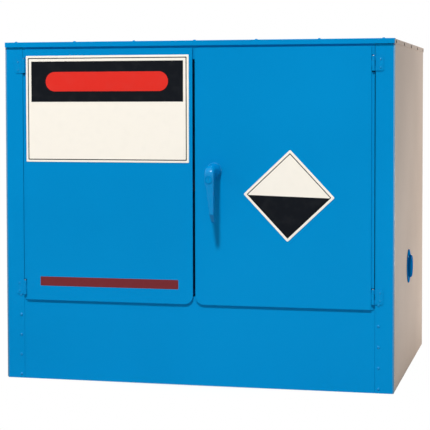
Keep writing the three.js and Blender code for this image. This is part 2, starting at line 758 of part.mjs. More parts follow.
// ---- latch
// Each cam slot runs out at an even rate, so a quarter turn draws its rod along by boltThrow.
const camSlot = (start) => {
  const reach = camPinRadius + camSlotSlack;
  const rate = boltThrow / (Math.PI / 2);
  const along = [];
  for (let i = 0; i <= spiralSteps; i += 1) {
    const turn = (Math.PI / 2) * (i / spiralSteps);
    const radius = camPinRest + rate * turn;
    const angle = start - turn;
    const heading = angle - Math.atan2(radius, rate);
    along.push({ point: [handleX + radius * Math.cos(angle), handleZ + radius * Math.sin(angle)], heading });
  }
  const side = (items, sign) => items.map(({ point, heading }) => [
    point[0] + sign * reach * Math.sin(heading),
    point[1] - sign * reach * Math.cos(heading),
  ]);
  const first = along[0];
  const last = along[along.length - 1];
  const quarter = Math.PI / 2;
  const endCap = arc(last.point, reach, last.heading - quarter, last.heading + quarter, holeSteps);
  const startCap = arc(first.point, reach, first.heading + quarter, first.heading + 3 * quarter, holeSteps);
  const inner = along.slice(1, -1);
  const outline = [...side(inner, 1), ...endCap, ...side(inner, -1).reverse(), ...startCap];
  return prism('y', outline, frontY + camFront - sheet, camBack + sheet);
};
addPiece('latch_cam', rod('y', [handleX, handleZ], camRadius, frontY + camFront, camBack, roundSteps)
  .subtract(block([handleX - socket, handleX + socket], [frontY, camBack + sheet],
    [handleZ - socket, handleZ + socket]))
  .subtract(camSlot(Math.PI / 2))
  .subtract(camSlot(1.5 * Math.PI)), zincPlate);

// A flat rod with a tapered nose; up is 1 for the rods that point up and -1 for those that point down.
const flatRod = (inner, tip, up) => prism('y', [
  [handleX - rodWidth / 2, inner],
  [handleX + rodWidth / 2, inner],
  [handleX + rodWidth / 2, tip - up * rodPlate],
  [handleX + rodWidth / 2 - rodPlate, tip],
  [handleX - rodWidth / 2 + rodPlate, tip],
  [handleX - rodWidth / 2, tip - up * rodPlate],
], frontY + rodFront, frontY + rodFront + rodPlate);
const tipTop = openingTop - rodTipGap;
const tipBottom = openingBottom + rodTipGap;
const latchRod = (tip, up) => flatRod(handleZ + up * rodInnerEnd, tip, up)
  .add(rod('y', [handleX, handleZ + up * camPinRest], camPinRadius, frontY + camFront, rodY, smallSteps));
addPiece('latch_rod_upper', latchRod(tipTop, 1), zincPlate);
addPiece('latch_rod_lower', latchRod(tipBottom, -1), zincPlate);

const flushBolt = (tip, up, knobZ) => flatRod(tip - up * flushBoltLength, tip, up)
  .add(turned('y', [handleX, knobZ], [
    [0, rodY],
    [knobStem, rodY],
    [knobStem, panBack + knobGap],
    [knobRadius, panBack + knobGap],
    [knobRadius, panBack + knobGap + knobHead],
    [0, panBack + knobGap + knobHead],
  ], smallSteps));
addPiece('flush_bolt_upper', flushBolt(tipTop, 1, knobTopZ), zincPlate, true);
addPiece('flush_bolt_lower', flushBolt(tipBottom, -1, knobBottomZ), zincPlate, true);

const rodGuide = (z, up) => {
  const path = [
    [frontY + guideFront, z],
    [panBack - sheet, z],
    [panBack - sheet, z - up * guideFoot],
  ];
  return prism('x', bent(path, up * guidePlate), handleX - guideWidth / 2, handleX + guideWidth / 2)
    .subtract(rodSlot(rodSlotSlack, z - (up * guidePlate) / 2));
};
addPiece('rod_guide_upper', rodGuide(tipTop - guideFromEnd, 1), zincPlate);
addPiece('rod_guide_lower', rodGuide(tipBottom + guideFromEnd, -1), zincPlate);
addPiece('bolt_guide_upper', rodGuide(tipTop - flushGuideFromEnd, 1), zincPlate, true);
addPiece('bolt_guide_lower', rodGuide(tipBottom + flushGuideFromEnd, -1), zincPlate, true);

export default cabinet;
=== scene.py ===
import json
import math

import bmesh
import bpy
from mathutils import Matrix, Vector


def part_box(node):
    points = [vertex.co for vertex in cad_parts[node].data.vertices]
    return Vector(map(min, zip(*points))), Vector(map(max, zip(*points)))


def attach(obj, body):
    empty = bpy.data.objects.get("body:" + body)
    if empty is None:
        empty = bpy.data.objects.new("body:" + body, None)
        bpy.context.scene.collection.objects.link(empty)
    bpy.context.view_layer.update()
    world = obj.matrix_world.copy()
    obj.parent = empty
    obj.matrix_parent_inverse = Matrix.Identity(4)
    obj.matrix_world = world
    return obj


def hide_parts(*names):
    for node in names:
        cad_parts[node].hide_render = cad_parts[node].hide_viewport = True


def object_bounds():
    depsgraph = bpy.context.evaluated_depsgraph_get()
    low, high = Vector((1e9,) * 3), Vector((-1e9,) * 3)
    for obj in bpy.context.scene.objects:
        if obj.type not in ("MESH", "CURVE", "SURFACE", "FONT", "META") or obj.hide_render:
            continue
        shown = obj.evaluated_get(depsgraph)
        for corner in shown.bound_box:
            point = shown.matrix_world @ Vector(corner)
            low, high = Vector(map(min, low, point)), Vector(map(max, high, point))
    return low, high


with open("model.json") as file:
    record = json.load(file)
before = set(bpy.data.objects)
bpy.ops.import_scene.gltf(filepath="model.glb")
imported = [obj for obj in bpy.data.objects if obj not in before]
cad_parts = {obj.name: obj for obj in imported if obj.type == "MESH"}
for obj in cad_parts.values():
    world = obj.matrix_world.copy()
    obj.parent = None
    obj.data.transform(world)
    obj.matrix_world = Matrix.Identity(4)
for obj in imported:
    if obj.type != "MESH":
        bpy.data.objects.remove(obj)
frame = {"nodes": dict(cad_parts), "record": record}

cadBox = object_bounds()
nodes = frame["nodes"]
mm = 0.001
print("frame loaded:", len(nodes), "nodes")


# a colour as a paint chart gives it, 0 to 255, turned into the light values that Blender wants
def chart(red, green, blue):
    def lightOf(value):
        share = value / 255
        return share / 12.92 if share <= 0.04045 else ((share + 0.055) / 1.055) ** 2.4
    return (lightOf(red), lightOf(green), lightOf(blue), 1.0)


# a socket of a finish; a sum on it adds its Math node
class Wire:
    def __init__(self, finish, socket):
        self.finish = finish
        self.socket = socket

    def sum(self, operation, first, second):
        return self.finish.node("Math", {"operation": operation}, {0: first, 1: second})

    def __add__(self, other):
        return self.sum("ADD", self, other)

    def __radd__(self, other):
        return self.sum("ADD", other, self)

    def __sub__(self, other):
        return self.sum("SUBTRACT", self, other)

    def __rsub__(self, other):
        return self.sum("SUBTRACT", other, self)

    def __mul__(self, other):
        return self.sum("MULTIPLY", self, other)

    def __rmul__(self, other):
        return self.sum("MULTIPLY", other, self)


# the nodes of a material or of the world
class Finish:
    def __init__(self, owner):
        owner.use_nodes = True
        self.owner = owner
        self.tree = owner.node_tree
        self.tree.nodes.clear()

    def node(self, kind, settings=None, inputs=None, output=0):
        made = self.tree.nodes.new("ShaderNode" + kind)
        for key, value in (settings or {}).items():
            setattr(made, key, value)
        for key, value in (inputs or {}).items():
            if isinstance(value, Wire):
                self.tree.links.new(value.socket, made.inputs[key])
            else:
                made.inputs[key].default_value = value
        return Wire(self, made.outputs[output]) if made.outputs else None

    # where a point is on the object, in metres
    def place(self):
        return self.node("TexCoord", output="Object")

    def stretched(self, scale):
        return self.node("Mapping", inputs={"Vector": self.place(), "Scale": scale})

    def noise(self, scale, detail=2.0, roughness=0.5, vector=None):
        inputs = {"Vector": vector or self.place(), "Scale": scale, "Detail": detail, "Roughness": roughness}
        return self.node("TexNoise", inputs=inputs)

    # an even ramp from 0 to 1 as the value goes from low to high
    def ramp(self, value, low, high):
        return self.node("MapRange", {"interpolation_type": "SMOOTHSTEP"}, {
            "Value": value, "From Min": low, "From Max": high})

    def blend(self, share, first, second):
        return self.node("Mix", {"data_type": "RGBA"}, {0: share, 6: first, 7: second}, output=2)

    def bump(self, height, distance, strength, normal=None):
        inputs = {"Height": height, "Distance": distance, "Strength": strength}
        if normal:
            inputs["Normal"] = normal
        return self.node("Bump", inputs=inputs)

    def surface(self, inputs):
        shader = self.node("BsdfPrincipled", inputs=inputs)
        self.node("OutputMaterial", inputs={"Surface": shader})
        return self.owner


def newFinish(name):
    return Finish(bpy.data.materials.new(name))


# In the dictionaries of the finishes a noise is its scale, its detail and often its roughness, ends are where
# a ramp starts and stops, a bump is its depth and strength, a share is how much of a tone is mixed in, and a
# name that ends in Rough is how much is added to the roughness.

# the blue of the front and the inside, and the stone of the other outer sides
bluePowder = {
    "tone": chart(1, 137, 198), "deep": chart(0, 131, 190), "pale": chart(3, 143, 204),
    "roughness": 0.22, "gloss": 0.03, "peel": 820, "drift": 1.6, "waver": 2.4,
}
stonePowder = {
    "tone": chart(181, 164, 151), "deep": chart(172, 155, 142), "pale": chart(190, 173, 160),
    "roughness": 0.45, "gloss": 0.02, "peel": 900, "drift": 2.2, "waver": 2.0,
}
# what all powder coats have alike
powder = {
    "driftDetail": 3.0, "driftEnds": (0.3, 0.7), "toneShare": 0.5,
    "speck": (260.0, 2.0), "speckEnds": (0.35, 0.65), "speckShare": 0.12, "speckRough": 0.05,
    "streak": (30.0, 5.0, 0.6), "streakStretch": (1.0, 1.0, 0.14),
    "rubbedEnds": (0.62, 0.74), "rubbedShare": 0.1, "rubbedRough": 0.06,
    "waverDetail": 1.0, "waverBump": (4.0 * mm, 0.35),
    "peelDetail": 2.0, "peelFineness": 0.55, "peelBump": (0.05 * mm, 0.5),
}


# powder coat: a slow drift of tone, orange peel, a faint waver of the sheet and a few rubbed streaks
def powderCoat(name, look):
    paint = newFinish(name)
    drift = paint.ramp(paint.noise(look["drift"], powder["driftDetail"]), *powder["driftEnds"])
    speck = paint.ramp(paint.noise(*powder["speck"]), *powder["speckEnds"])
    streak = paint.noise(*powder["streak"], paint.stretched(powder["streakStretch"]))
    rubbed = paint.ramp(streak, *powder["rubbedEnds"])
    tone = paint.blend(drift, look["deep"], look["pale"])
    tone = paint.blend(powder["toneShare"], tone, look["tone"])
    tone = paint.blend(speck * powder["speckShare"], tone, look["pale"])
    tone = paint.blend(rubbed * powder["rubbedShare"], tone, look["deep"])
    rough = look["roughness"] + (speck - 0.5) * powder["speckRough"] + rubbed * powder["rubbedRough"]
    waver = paint.noise(look["waver"], powder["waverDetail"])
    peel = paint.noise(look["peel"], powder["peelDetail"], powder["peelFineness"])
    skin = paint.bump(peel, *powder["peelBump"], paint.bump(waver, *powder["waverBump"]))
    return paint.surface({
        "Base Color": tone, "Roughness": rough, "Specular IOR Level": look["gloss"], "Normal": skin})


zinc = {
    "dark": chart(176, 180, 184), "bright": chart(201, 204, 206), "dull": chart(150, 153, 156), "metal": 0.9,
    "spangle": 120.0, "bloom": (14.0, 4.0), "bloomEnds": (0.45, 0.7), "bloomShare": 0.35,
    "lines": (220.0, 3.0, 0.6), "linesStretch": (0.05, 1.0, 1.0), "linesBump": (0.04 * mm, 0.6),
    "roughness": 0.3, "spangleRough": 0.1, "bloomRough": 0.12, "linesRough": 0.1,
}


# bright zinc: soft spangle, fine rolling lines and a dull bloom
def zincCoat(name):
    coat = newFinish(name)
    spangle = coat.node("TexVoronoi", {"feature": "F1"}, {
        "Vector": coat.place(), "Scale": zinc["spangle"]}, output="Color")
    grey = coat.node("RGBToBW", inputs={0: spangle})
    lines = coat.noise(*zinc["lines"], coat.stretched(zinc["linesStretch"]))
    bloom = coat.ramp(coat.noise(*zinc["bloom"]), *zinc["bloomEnds"])
    tone = coat.blend(grey, zinc["dark"], zinc["bright"])
    tone = coat.blend(bloom * zinc["bloomShare"], tone, zinc["dull"])
    rough = zinc["roughness"] + grey * zinc["spangleRough"] + bloom * zinc["bloomRough"]
    rough = rough + (lines - 0.5) * zinc["linesRough"]
    return coat.surface({
        "Base Color": tone, "Metallic": zinc["metal"], "Roughness": rough,
        "Normal": coat.bump(lines, *zinc["linesBump"])})


steel = {
    "clean": chart(168, 170, 173), "oily": chart(96, 97, 99), "metal": 1.0,
    "lines": (900.0, 2.0, 0.5), "linesStretch": (0.2, 0.2, 1.0), "linesBump": (0.03 * mm, 0.5),
    "oil": (160.0, 3.0), "oilEnds": (0.5, 0.75), "oilShare": 0.6,
    "roughness": 0.26, "oilRough": 0.15, "linesRough": 0.1,
}


# turned or drawn steel: rings of fine tool marks and dark oil in the hollows
def turnedSteel(name):
    metal = newFinish(name)
    lines = metal.noise(*steel["lines"], metal.stretched(steel["linesStretch"]))
    oil = metal.ramp(metal.noise(*steel["oil"]), *steel["oilEnds"])
    tone = metal.blend(oil * steel["oilShare"], steel["clean"], steel["oily"])
    rough = steel["roughness"] + oil * steel["oilRough"] + (lines - 0.5) * steel["linesRough"]
    return metal.surface({
        "Base Color": tone, "Metallic": steel["metal"], "Roughness": rough,
        "Normal": metal.bump(lines, *steel["linesBump"])})


film = {
    "dust": (45.0, 4.0), "dustEnds": (0.45, 0.75), "dustTone": chart(128, 126, 122),
    "dustShare": 0.02, "dustRough": 0.1, "gloss": 0.06,
    "grain": (1400.0, 1.0), "grainBump": (0.02 * mm, 0.4),
}


# screen-printed ink or film on a plate, with a trace of dust
def printedFilm(name, tone, roughness):
    ink = newFinish(name)
    dust = ink.ramp(ink.noise(*film["dust"]), *film["dustEnds"])
    return ink.surface({
        "Base Color": ink.blend(dust * film["dustShare"], tone, film["dustTone"]),
        "Roughness": roughness + dust * film["dustRough"], "Specular IOR Level": film["gloss"],
        "Normal": ink.bump(ink.noise(*film["grain"]), *film["grainBump"])})


softRubber = {
    "dark": chart(28, 28, 29), "pale": chart(52, 52, 53), "bloom": (70.0, 4.0), "bloomEnds": (0.4, 0.75),
    "bloomShare": 0.5, "bloomRough": 0.15, "roughness": 0.62, "gloss": 0.3,
    "grain": (700.0, 3.0), "grainBump": (0.1 * mm, 0.5),
}


def rubber(name):
    skin = newFinish(name)
    bloom = skin.ramp(skin.noise(*softRubber["bloom"]), *softRubber["bloomEnds"])
    return skin.surface({
        "Base Color": skin.blend(bloom * softRubber["bloomShare"], softRubber["dark"], softRubber["pale"]),
        "Roughness": softRubber["roughness"] + bloom * softRubber["bloomRough"],
        "Specular IOR Level": softRubber["gloss"],
        "Normal": skin.bump(skin.noise(*softRubber["grain"]), *softRubber["grainBump"])})


# the same blue as a smoother enamel for the lever, the hinges, the rivets and the screws, darker and duller
# for the vents with painted shade in the darker tone, and paler for the seams of the front corners as a
# painted highlight
leverPaint = powderCoat("leverEnamel", dict(bluePowder, tone=chart(0, 133, 194), deep=chart(0, 127, 187),
    pale=chart(2, 139, 200), gloss=0.22, roughness=0.17, peel=400))
hingePaint = powderCoat("hingeEnamel", dict(bluePowder, gloss=0.05, roughness=0.2, peel=400))
# the vents' darker tone is painted shade, for the dim light that falls on the cabinet's sides
ventShadedPaint = powderCoat("ventShadedPaint", dict(bluePowder, tone=chart(2, 108, 172), deep=chart(0, 98, 160),
    pale=chart(6, 118, 182), gloss=0.0, roughness=0.4))
glossEnamel = powderCoat("glossEnamel", dict(bluePowder, gloss=0.22, roughness=0.2, peel=400))
# the paler tone of the corner seams is a painted highlight along the rounded front corners
seamHighlightEnamel = powderCoat("seamHighlightEnamel", dict(bluePowder, tone=chart(96, 145, 176), deep=chart(88, 138, 170),
    pale=chart(104, 151, 181), gloss=0.5, roughness=0.25, peel=400))
finishes = {
    "blue_paint": powderCoat("bluePowderCoat", bluePowder),
    "stone_paint": powderCoat("stonePowderCoat", stonePowder),
    "zinc_plate": zincCoat("brightZinc"),
    "steel_pin": turnedSteel("turnedSteel"),
}
# blue pieces with a paint of their own, by how their names start
ownPaint = {"vent_duct": ventShadedPaint, "vent_cap": ventShadedPaint, "handle_rose": leverPaint, "hinge": hingePaint}
plateWhite = printedFilm("plateWhite", chart(251, 241, 226), 0.42)
plateDark = printedFilm("plateDark", chart(17, 20, 25), 0.38)
plateRed = printedFilm("plateRed", chart(226, 48, 38), 0.38)
stripeRed = printedFilm("stripeRed", chart(118, 44, 48), 0.45)
sealRubber = rubber("sealRubber")
print("finishes made:", len(bpy.data.materials))


def wear(piece, material):
    piece.data.materials.clear()
    piece.data.materials.append(material)


# how far each kind of edge is rounded, and the angles, in degrees, up to which facets are joined and from
# which edges are rounded
edgeRadius = {
    "door_outer_pan": 1.1 * mm, "door_inner_pan": 0.5 * mm, "hinge": 0.5 * mm, "latch": 0.3 * mm,
    "rose": 0.5 * mm, "vent": 0.6 * mm, "side_panel": 1.1 * mm, "other": 0.45 * mm,
}
edges = {"weld": 0.005 * mm, "flatTo": 0.5, "sharpFrom": 28, "segments": 2, "normalWeight": 100}


# softened sheet edges; the flat facets of one face are joined first so that only real edges are rounded
def softEdges(piece, width):
    weld = piece.modifiers.new("weld", "WELD")
    weld.merge_threshold = edges["weld"]
    flat = piece.modifiers.new("flat", "DECIMATE")
    flat.decimate_type = "DISSOLVE"
    flat.angle_limit = math.radians(edges["flatTo"])
    bevel = piece.modifiers.new("bevel", "BEVEL")
    bevel.width = width
    bevel.segments = edges["segments"]
    bevel.limit_method = "ANGLE"
    bevel.angle_limit = math.radians(edges["sharpFrom"])
    bevel.use_clamp_overlap = True
    bevel.harden_normals = True
    bevel.miter_outer = "MITER_ARC"
    even = piece.modifiers.new("even", "WEIGHTED_NORMAL")
    even.weight = edges["normalWeight"]
    even.keep_sharp = False


for node in frame["record"]["subparts"]:
    name = node["node"]
    piece = nodes[name]
    for slot in piece.material_slots:
        slot.material = finishes[node["material_slot"]]
        if node["material_slot"] == "blue_paint":
            slot.material = next((ownPaint[key] for key in ownPaint if name.startswith(key)), slot.material)
    kind = next((key for key in edgeRadius if key in name), "other")
    for face in piece.data.polygons:
        face.use_smooth = True
    softEdges(piece, edgeRadius[kind])
print("CAD nodes finished")


# rings of points joined one to the next, with the first and the last closed off unless the shape is open
def loft(mesh, rings, closed=True):
    made = [[mesh.verts.new(point) for point in ring] for ring in rings]
    count = len(made[0])
    for lower, upper in zip(made, made[1:]):
        for i in range(count):
            j = (i + 1) % count
            mesh.faces.new((lower[i], lower[j], upper[j], upper[i]))
    if closed:
        mesh.faces.new(list(reversed(made[0])))
        mesh.faces.new(made[-1])


# a piece that rides on a body; its faces are shaded smooth up to the angle smooth, in degrees
def addPiece(name, mesh, material, body, smooth=0):
    bmesh.ops.recalc_face_normals(mesh, faces=mesh.faces)
    data = bpy.data.meshes.new(name)
    mesh.to_mesh(data)
    mesh.free()
    piece = bpy.data.objects.new(name, data)
    bpy.context.scene.collection.objects.link(piece)
    wear(piece, material)
    for face in data.polygons:
        face.use_smooth = bool(smooth)
    if smooth:
        data.set_sharp_from_angle(angle=math.radians(smooth))
    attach(piece, body)
    return piece


# angles, in degrees, up to which plates, heads and long round pieces are shaded smooth
smoothTo = {"plate": 25, "head": 50, "round": 60}
armPower = 0.6  # the lower it is, the slimmer the arms of a screw's cross


# a turned shape: rows of radius, distance along and, for a cross, the share by which its gaps are pinched
def spin(mesh, rows, foot, direction, steps, closed=True):
    along = Vector(direction).normalized()
    across = along.orthogonal().normalized()
    other = along.cross(across)
    rings = []
    for radius, reach, *pinch in rows:
        pinchShare = pinch[0] if pinch else 0.0
        ring = []
        for i in range(steps):
            angle = 2 * math.pi * i / steps
            wide = radius * (1 - pinchShare * abs(math.sin(2 * angle)) ** armPower)
            spoke = across * math.cos(angle) + other * math.sin(angle)
            ring.append(Vector(foot) + along * reach + spoke * wide)
        rings.append(ring)
    loft(mesh, rings, closed)


# a flat outline of [x, z] corners with rounded corners, drawn counterclockwise
def roundedOutline(corners, radius, steps=5):
    points = []
    for i, corner in enumerate(corners):
        here = Vector(corner)
        before = (Vector(corners[i - 1]) - here).normalized()
        after = (Vector(corners[(i + 1) % len(corners)]) - here).normalized()
        half = before.angle(after) / 2
        middle = here + (before + after).normalized() * (radius / math.sin(half))
        start = here + before * (radius / math.tan(half)) - middle
        sweep = math.pi - 2 * half
        for j in range(steps + 1):
            turn = sweep * j / steps
            points.append((middle.x + start.x * math.cos(turn) - start.y * math.sin(turn),
                middle.y + start.x * math.sin(turn) + start.y * math.cos(turn)))
    return points


def boxCorners(left, right, low, high):
    return [(left, low), (right, low), (right, high), (left, high)]


def onPlane(outline, y):
    return [(x, y, z) for x, z in outline]


def inkFace(mesh, outline, y):
    mesh.faces.new([mesh.verts.new(point) for point in onPlane(outline, y)])


def inkRing(mesh, outer, inner, y):
    loops = [[mesh.verts.new(point) for point in onPlane(outline, y)] for outline in (outer, inner)]
    for i in range(len(outer)):
        j = (i + 1) % len(outer)
        mesh.faces.new((loops[0][i], loops[0][j], loops[1][j], loops[1][i]))


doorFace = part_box("door_outer_pan_left")[0].y
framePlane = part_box("lower_front_panel")[0].y
sheetThick = 1.2 * mm
# the blank plates: thickness, rounding of the front edge, and the height of each layer of ink
plates = {"thick": 0.9 * mm, "edge": 0.35 * mm, "inkLift": 0.06 * mm}


# a plate on the front of a door, its front edge slightly rounded
def makePlate(name, outlineOf, body):
    front = doorFace - plates["thick"]
    mesh = bmesh.new()
    loft(mesh, [onPlane(outlineOf(0), doorFace), onPlane(outlineOf(0), front + plates["edge"]),
        onPlane(outlineOf(plates["edge"]), front)])
    addPiece(name, mesh, plateWhite, body, smoothTo["plate"])


# the large plate on the left door: bare apart from a keyline, a dark heading band and a plain bar
signPlate = {
    "left": -410.6 * mm, "right": -11.4 * mm, "low": 521.0 * mm, "high": 772.4 * mm,
    "corner": 1.6 * mm, "keyInset": 5.0 * mm, "keyWidth": 2.2 * mm, "bandInset": 13.4 * mm,
    "bandHeight": 95.7 * mm, "barWidth": 300.0 * mm, "barHeight": 46.0 * mm, "barRoundShare": 0.98,
    "barSteps": 12,
}


def makeSignPlate():
    left, right, low, high = (signPlate[key] for key in ("left", "right", "low", "high"))

    def outlineOf(inset):
        corners = boxCorners(left + inset, right - inset, low + inset, high - inset)
        return roundedOutline(corners, signPlate["corner"])
    makePlate("signPlate", outlineOf, "left_door")
    ink = doorFace - plates["thick"] - plates["inkLift"]
    mesh = bmesh.new()
    key = signPlate["keyInset"]
    inkRing(mesh, outlineOf(key), outlineOf(key + signPlate["keyWidth"]), ink)
    inset = signPlate["bandInset"]
    band = boxCorners(left + inset, right - inset, high - inset - signPlate["bandHeight"], high - inset)
    inkFace(mesh, band, ink)
    addPiece("signPlateInk", mesh, plateDark, "left_door")
    middle = (left + right) / 2
    level = high - inset - signPlate["bandHeight"] / 2
    wide, tall = signPlate["barWidth"] / 2, signPlate["barHeight"] / 2
    corners = boxCorners(middle - wide, middle + wide, level - tall, level + tall)
    bar = roundedOutline(corners, tall * signPlate["barRoundShare"], signPlate["barSteps"])
    mesh = bmesh.new()
    inkFace(mesh, bar, ink - plates["inkLift"])
    addPiece("signPlateBar", mesh, plateRed, "left_door")


# the square plate that stands on its corner on the right door, bare apart from a keyline and a dark lower
# half; an outline inside its edge has a smaller corner, by a share of how far inside it lies
diamondPlate = {
    "middle": (223.8 * mm, 447.2 * mm), "halfDiagonal": 106.0 * mm, "turn": -1.7,
    "corner": 3.0 * mm, "leastCorner": 0.8 * mm, "cornerLossShare": 1 / 3,
    "keyInset": 5.6 * mm, "keyWidth": 2.0 * mm, "footShare": 0.015,
}


def makeDiamondPlate():
    centre = Vector(diamondPlate["middle"])
    turn = math.radians(diamondPlate["turn"])

    def turned(x, z):
        return (centre.x + x * math.cos(turn) - z * math.sin(turn),
            centre.y + x * math.sin(turn) + z * math.cos(turn))

    def outlineOf(inset):
        reach = diamondPlate["halfDiagonal"] - inset * math.sqrt(2)
        corners = [turned(0, -reach), turned(reach, 0), turned(0, reach), turned(-reach, 0)]
        radius = diamondPlate["corner"] - inset * diamondPlate["cornerLossShare"]
        return roundedOutline(corners, max(radius, diamondPlate["leastCorner"]))
    makePlate("diamondPlate", outlineOf, "right_door")
    ink = doorFace - plates["thick"] - plates["inkLift"]
    mesh = bmesh.new()
    key = diamondPlate["keyInset"]
    inkRing(mesh, outlineOf(key), outlineOf(key + diamondPlate["keyWidth"]), ink)
    reach = diamondPlate["halfDiagonal"] - key * math.sqrt(2)
    level = reach * diamondPlate["footShare"]
    inkFace(mesh, [turned(0, -reach), turned(reach - level, -level), turned(level - reach, -level)], ink)
    addPiece("diamondPlateInk", mesh, plateDark, "right_door")


# a plain painted stripe low on the left door
doorStripe = {
    "left": -378.0 * mm, "right": -38.0 * mm, "level": 236.0 * mm, "height": 22.0 * mm, "corner": 2.0 * mm,
    "ink": 0.1 * mm,
}


def makeDoorStripe():
    tall = doorStripe["height"] / 2
    level = doorStripe["level"]
    corners = boxCorners(doorStripe["left"], doorStripe["right"], level - tall, level + tall)
    mesh = bmesh.new()
    inkFace(mesh, roundedOutline(corners, doorStripe["corner"]), doorFace - doorStripe["ink"])
    addPiece("doorStripe", mesh, stripeRed, "left_door")


makeSignPlate()
makeDiamondPlate()
makeDoorStripe()
print("plates and stripe made")

# radius and height of each kind of rivet, and the shares of them that its profile goes through
rivetSize = {
    "frame": (3.3 * mm, 1.7 * mm), "lid": (3.5 * mm, 2.1 * mm), "skin": (3.0 * mm, 1.4 * mm),
    "hinge": (2.6 * mm, 0.6 * mm), "strip": (3.2 * mm, 1.2 * mm),
}
rivetShares = [
    (1.0, -0.2), (1.0, 0.12), (0.9, 0.5), (0.68, 0.82), (0.36, 0.96), (0.3, 0.9), (0.22, 0.62), (0.1, 0.6),
]
# a pan head with a cross recess: its profile up to the recess, then the recess's rim and floor, each as a
# share of the radius and the share by which the cross is pinched there
screw = {
    "radius": 3.0 * mm, "height": 1.5 * mm, "recess": 1.0 * mm,
    "headShares": [(1.0, -0.1), (1.0, 0.3), (0.9, 0.7), (0.72, 0.95), (0.62, 1.0)],
    "rimShares": (0.55, 0.62), "floorShares": (0.5, 0.66),
}
headSteps = {"rivet": 16, "screw": 24}


def rivetRows(kind):
    radius, height = rivetSize[kind]
    return [(radius * wide, height * tall) for wide, tall in rivetShares]


def screwRows():
    radius, height = screw["radius"], screw["height"]
    rows = [(radius * wide, height * tall) for wide, tall in screw["headShares"]]
    for shares, level in (("rimShares", height), ("floorShares", height - screw["recess"])):
        wide, pinchShare = screw[shares]
        rows.append((radius * wide, level, pinchShare))
    return rows


# rivets of a kind, or screws, at several places, each with the direction that it faces
def makeHeads(name, spots, kind, body, slot):
    rows = screwRows() if kind == "screw" else rivetRows(kind)
    steps = headSteps["screw" if kind == "screw" else "rivet"]
    mesh = bmesh.new()
    for spot, direction in spots:
        spin(mesh, rows, spot, direction, steps)
    material = glossEnamel if slot == "blue_paint" else finishes[slot]
    addPiece(name, mesh, material, body, smoothTo["head"])


def evenly(first, last, count):
    return [first + (last - first) * i / (count - 1) for i in range(count)]


def grid(columns, rows):
    return [(column, row) for column in columns for row in rows]


frameRivets = {
    "column": 429.0 * mm, "low": 10.0 * mm, "high": 201.0 * mm, "perColumn": 5,
    "lidReach": 438.6 * mm, "lidBack": 5.0 * mm, "perLid": 7,
    "backInset": 11.0 * mm, "backTop": 22.0 * mm, "backRowInset": 99.0 * mm, "perBackColumn": 8,
    "baseInset": 33.0 * mm, "perRow": 7,
}


def makeFrameRivets():
    column = frameRivets["column"]
    levels = evenly(frameRivets["low"], frameRivets["high"], frameRivets["perColumn"])
    spots = [((x, framePlane, z), (0, -1, 0)) for x, z in grid((-column, column), levels)]
    makeHeads("stileRivets", spots, "frame", "carcass", "blue_paint")
    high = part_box("header_rail")[1]
    reach = frameRivets["lidReach"]
    spots = [((x, framePlane + frameRivets["lidBack"], high.z), (0, 0, 1))
        for x in evenly(-reach, reach, frameRivets["perLid"])]
    makeHeads("headerRivets", spots, "lid", "carcass", "blue_paint")
    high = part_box("back_panel")[1]
    inset = frameRivets["backInset"]
    top = high.z - frameRivets["backTop"]
    side = high.x - inset
    reach = high.x - frameRivets["backRowInset"]
    places = grid((-side, side), evenly(inset, top, frameRivets["perBackColumn"]))
    places += grid(evenly(-reach, reach, frameRivets["perRow"]), (inset, top))
    spots = [((x, high.y, z), (0, 1, 0)) for x, z in places]
    makeHeads("backRivets", spots, "skin", "carcass", "stone_paint")
    low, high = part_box("base_panel")
    inset = frameRivets["baseInset"]
    row = evenly(low.x + inset, high.x - inset, frameRivets["perRow"])
    spots = [((x, y, low.z), (0, 0, -1)) for x, y in grid(row, (low.y + inset, high.y - inset))]
    makeHeads("baseRivets", spots, "skin", "carcass", "stone_paint")


# heads on the hinge plates, the vent flanges and the shelf strips
fixings = {
    "hingeColumn": 7.0 * mm, "hingeReach": 9.5 * mm, "plate": 2.0 * mm, "ventRadius": 36.0 * mm, "perVent": 4,
    "stripEnd": 6.0 * mm,
}


def makeFixings():
    spots = []
    for side, place in grid(("left", "right"), ("top", "bottom")):
        low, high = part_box(f"hinge_frame_leaf_{side}_{place}")
        x = high.x - fixings["hingeColumn"] if side == "right" else low.x + fixings["hingeColumn"]
        middle = (low.z + high.z) / 2
        spots += [((x, framePlane - fixings["plate"], middle + step), (0, -1, 0))
            for step in (-fixings["hingeReach"], fixings["hingeReach"])]
    makeHeads("hingeRivets", spots, "hinge", "carcass", "blue_paint")
    spots = []
    for place, side in (("low", 1), ("high", -1)):
        low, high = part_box(f"vent_duct_{place}")
        outer = high.x if side > 0 else low.x
        for i in range(fixings["perVent"]):
            angle = 2 * math.pi * (i + 0.5) / fixings["perVent"]
            y = (low.y + high.y) / 2 + fixings["ventRadius"] * math.cos(angle)
            z = (low.z + high.z) / 2 + fixings["ventRadius"] * math.sin(angle)
            spots.append(((outer, y, z), (side, 0, 0)))
    makeHeads("ventScrews", spots, "screw", "carcass", "blue_paint")
    spots = []
    for side, place in grid(("left", "right"), ("front", "rear")):
        low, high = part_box(f"shelf_strip_{side}_{place}")
        inward = -1 if side == "right" else 1
        face = low.x if side == "right" else high.x
        spots += [((face, (low.y + high.y) / 2, z), (inward, 0, 0))
            for z in (low.z + fixings["stripEnd"], high.z - fixings["stripEnd"])]
    makeHeads("stripRivets", spots, "strip", "carcass", "zinc_plate")


# screws that hold each inner pan of the doors, clear of the stops and of the bolts' knobs
panScrews = {
    "meeting": 17.0 * mm, "hinge": 395.0 * mm, "low": 226.0 * mm, "high": 732.0 * mm, "perColumn": 6,
    "rowStart": 96.0 * mm, "perRow": 4,
}


